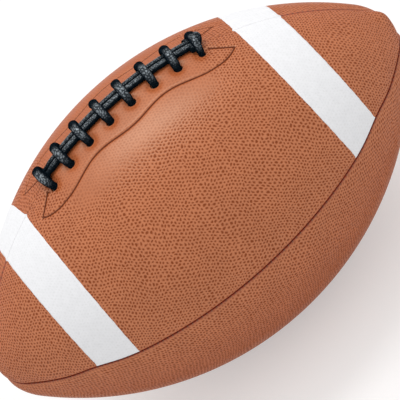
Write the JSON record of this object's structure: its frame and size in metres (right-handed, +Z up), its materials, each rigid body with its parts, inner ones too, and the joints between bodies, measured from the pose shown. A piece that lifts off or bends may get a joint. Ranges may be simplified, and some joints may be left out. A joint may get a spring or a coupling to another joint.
{
  "type": "american football",
  "caption": "Laced inflatable ball with pointed ends: sewn pebbled panels, white stripes, black lacing, lining, bladder and inflation valve.",
  "frame": {"origin": "the point of a flat floor under the middle of the ball, which lies on its belly with the lacing up", "axes": "+X along the long axis towards the end where the lacing finishes in its loop, +Z up through the lace seam, -Y towards the side that the picture shows"},
  "size_m": [0.2888, 0.168, 0.1741],
  "materials": {
    "cover_leather": "pebbled composite leather, orange-brown with darker grain, satin",
    "lining_cloth": "laminated cotton cloth",
    "seam_thread": "dark red-brown waxed lockstitch thread",
    "inner_leather": "smooth reinforcing leather",
    "facing_thread": "dark brown sewing thread",
    "lace": "black pebbled composite lace with a soft sheen",
    "stripe_white": "white flexible coating that keeps a faint grain",
    "bladder_rubber": "matt bladder rubber",
    "valve_rubber": "black moulded rubber",
    "plug_rubber": "self-sealing rubber plug"
  },
  "bodies": {
    "root": {"cover_lace_near": "cover_leather", "cover_lace_far": "cover_leather", "cover_belly_near": "cover_leather", "cover_belly_far": "cover_leather", "lining_lace_near": "lining_cloth", "lining_lace_far": "lining_cloth", "lining_belly_near": "lining_cloth", "lining_belly_far": "lining_cloth", "seam_thread_lace": "seam_thread", "seam_thread_near": "seam_thread", "seam_thread_belly": "seam_thread", "seam_thread_far": "seam_thread", "facing_near": "inner_leather", "facing_far": "inner_leather", "facing_stitches_near": "facing_thread", "facing_stitches_far": "facing_thread", "tongue": "inner_leather", "lace": "lace", "stripe_near_right": "stripe_white", "stripe_near_left": "stripe_white", "stripe_far_right": "stripe_white", "stripe_far_left": "stripe_white", "bladder": "bladder_rubber", "valve_neck": "valve_rubber", "valve_plug": "plug_rubber"}
  },
  "joints": []
}
